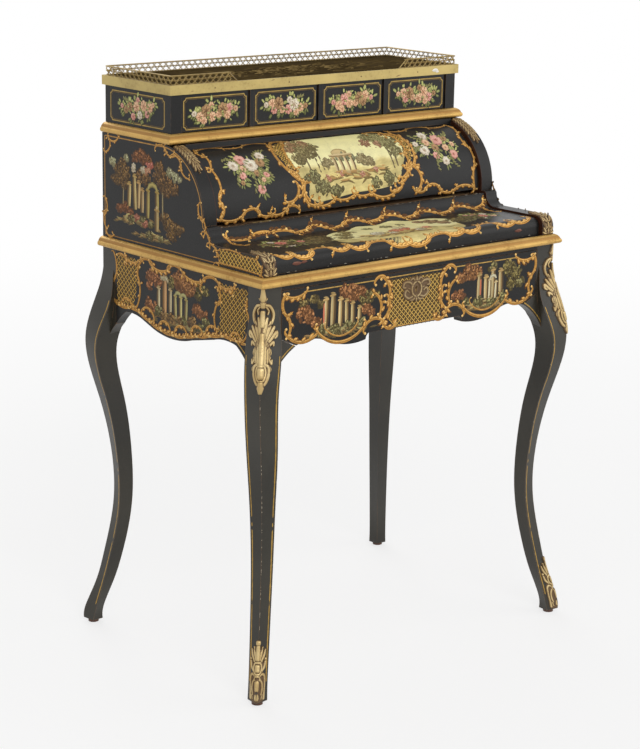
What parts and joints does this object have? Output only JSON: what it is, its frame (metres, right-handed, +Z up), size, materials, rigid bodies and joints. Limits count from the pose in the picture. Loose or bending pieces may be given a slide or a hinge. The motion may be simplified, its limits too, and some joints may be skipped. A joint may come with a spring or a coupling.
{
  "type": "bonheur du jour",
  "caption": "Lady's writing desk on cabriole legs: shaped frieze drawer, ogee flap before a cylinder shutter, a row of small drawers above and a pierced brass gallery.",
  "frame": {"origin": "on the floor under the middle of the case", "axes": "+X to the right of who sits at the desk, +Y to the back, +Z up"},
  "size_m": [0.77, 0.5353, 1.0704],
  "materials": {
    "lacquer": "black lacquer with painted and gilt decoration, worn",
    "oak": "plain waxed wood",
    "gilt_bronze": "gilt, rubbed on the high parts",
    "steel": "dull",
    "leather": "worn"
  },
  "bodies": {
    "case": {"leg_front_left": "lacquer", "leg_front_right": "lacquer", "leg_back_left": "lacquer", "leg_back_right": "lacquer", "side_apron_left": "lacquer", "side_apron_right": "lacquer", "front_rail": "lacquer", "bed_board": "lacquer", "cheek_left": "lacquer", "cheek_right": "lacquer", "head_rail": "lacquer", "upper_board": "lacquer", "box_side_left": "lacquer", "box_side_right": "lacquer", "box_dividers": "lacquer", "box_top": "lacquer", "back_rail": "oak", "drawer_runner_left": "oak", "drawer_runner_right": "oak", "upper_back": "oak", "compartment_floor": "oak", "pigeonholes": "oak", "box_back": "oak", "table_moulding": "gilt_bronze", "upper_moulding": "gilt_bronze", "brass_band": "gilt_bronze", "gallery": "gilt_bronze", "knee_mount_left": "gilt_bronze", "knee_mount_right": "gilt_bronze", "toe_mount_left": "gilt_bronze", "toe_mount_right": "gilt_bronze", "cheek_leaf_mounts": "gilt_bronze", "nose_mounts": "gilt_bronze", "flap_hinges_fixed": "gilt_bronze", "cylinder_pivots": "steel", "flap_hinge_pins": "steel", "foot_glides": "leather", "writing_leather": "leather"},
    "cylinder": {"cylinder_shell": "lacquer", "cylinder_quadrant_left": "oak", "cylinder_quadrant_right": "oak"},
    "flap": {"flap_board": "lacquer", "flap_hinges_moving": "gilt_bronze"},
    "frieze_drawer": {"frieze_drawer_front": "lacquer", "frieze_drawer_side_left": "oak", "frieze_drawer_side_right": "oak", "frieze_drawer_back": "oak", "frieze_drawer_bottom": "oak", "escutcheon": "gilt_bronze", "lock_body": "steel"},
    "lock_bolt": {"lock_bolt": "steel"},
    "small_drawer_1": {"small_drawer_1_front": "lacquer", "small_drawer_1_tray": "oak"},
    "small_drawer_2": {"small_drawer_2_front": "lacquer", "small_drawer_2_tray": "oak"},
    "small_drawer_3": {"small_drawer_3_front": "lacquer", "small_drawer_3_tray": "oak"},
    "small_drawer_4": {"small_drawer_4_front": "lacquer", "small_drawer_4_tray": "oak"}
  },
  "joints": [
    {"name": "cylinder_turn", "type": "hinge", "parent": "case", "child": "cylinder", "pos_m": [0, 0.052, 0.828], "axis": [-1, 0, 0], "range_deg": [0, 72]},
    {"name": "flap_turn", "type": "hinge", "parent": "case", "child": "flap", "pos_m": [0, -0.071, 0.8155], "axis": [-1, 0, 0], "range_deg": [0, 108]},
    {"name": "frieze_drawer_slide", "type": "slide", "parent": "case", "child": "frieze_drawer", "axis": [0, -1, 0], "range_m": [0, 0.3]},
    {"name": "lock_bolt_slide", "type": "slide", "parent": "frieze_drawer", "child": "lock_bolt", "axis": [0, 0, 1], "range_m": [0, 0.006]},
    {"name": "small_drawer_1_slide", "type": "slide", "parent": "case", "child": "small_drawer_1", "axis": [0, -1, 0], "range_m": [0, 0.08]},
    {"name": "small_drawer_2_slide", "type": "slide", "parent": "case", "child": "small_drawer_2", "axis": [0, -1, 0], "range_m": [0, 0.08]},
    {"name": "small_drawer_3_slide", "type": "slide", "parent": "case", "child": "small_drawer_3", "axis": [0, -1, 0], "range_m": [0, 0.08]},
    {"name": "small_drawer_4_slide", "type": "slide", "parent": "case", "child": "small_drawer_4", "axis": [0, -1, 0], "range_m": [0, 0.08]}
  ]
}
